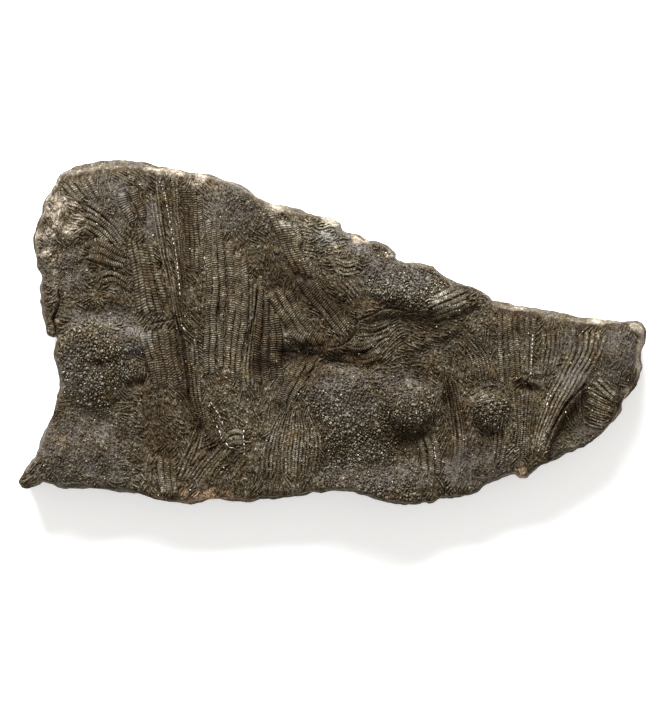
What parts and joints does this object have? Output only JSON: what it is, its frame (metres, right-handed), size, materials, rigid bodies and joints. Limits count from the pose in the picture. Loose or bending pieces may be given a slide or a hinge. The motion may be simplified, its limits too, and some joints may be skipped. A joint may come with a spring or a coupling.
{
  "type": "fossil crinoid slab",
  "caption": "Flat slab of dark shale, its upper face crowded with crinoid arms in low ribbed ridges between rounded nodules, with broken edges and a flat underside.",
  "frame": {"origin": "centre of the slab's outline on its flat underside", "axes": "+X along the slab's length towards its pointed end, +Y towards its long sloping upper edge, +Z out of the fossil face"},
  "size_m": [0.145, 0.0794, 0.0164],
  "materials": {
    "shale": "dull dark brown-grey fossil shale with greyer mud patches and pale tan broken edges"
  },
  "bodies": {
    "root": {"fossil_slab": "shale"}
  },
  "joints": []
}
